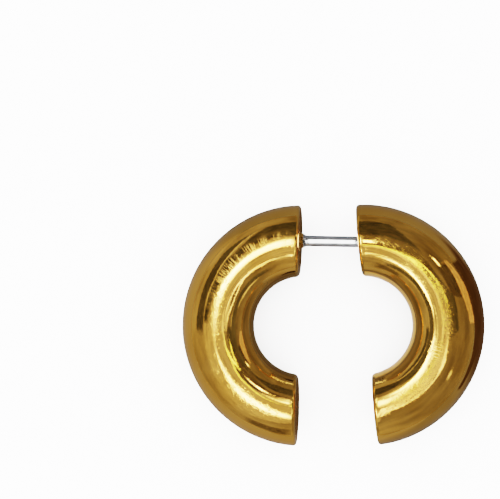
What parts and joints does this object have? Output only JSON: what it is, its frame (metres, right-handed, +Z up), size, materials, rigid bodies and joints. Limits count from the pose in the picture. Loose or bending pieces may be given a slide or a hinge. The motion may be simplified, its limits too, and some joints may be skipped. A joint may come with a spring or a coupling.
{
  "type": "fake horseshoe piercing earring",
  "caption": "Horseshoe earring of thick gold round bar in two halves, joined through the earlobe by a straight steel post that pushes into a grip plug.",
  "frame": {"origin": "on the surface that both halves lie on, under the middle of the overall length and width", "axes": "+X along the ear post, from the half that carries it to the half that takes it; +Y across, from the open lower ends to the ends with the post; +Z up, square to the plane of the ring"},
  "size_m": [0.0338, 0.0272, 0.008],
  "materials": {
    "gold": "polished gold-coloured brass with fine polishing lines",
    "post_steel": "drawn steel wire, bright",
    "grip": "dull dark grey, uneven"
  },
  "bodies": {
    "post_side": {"post_half": "gold", "ear_post": "post_steel"},
    "grip": {"socket_grip": "grip"},
    "socket_side": {"socket_half": "gold"}
  },
  "joints": [
    {"name": "pull_off", "type": "slide", "parent": "post_side", "child": "grip", "axis": [1, 0, 0], "range_m": [-0.0012, 0.009]},
    {"name": "turn_on_post", "type": "hinge", "parent": "grip", "child": "socket_side", "pos_m": [0.00277, 0.0094, 0.004], "axis": [1, 0, 0], "continuous": true}
  ]
}
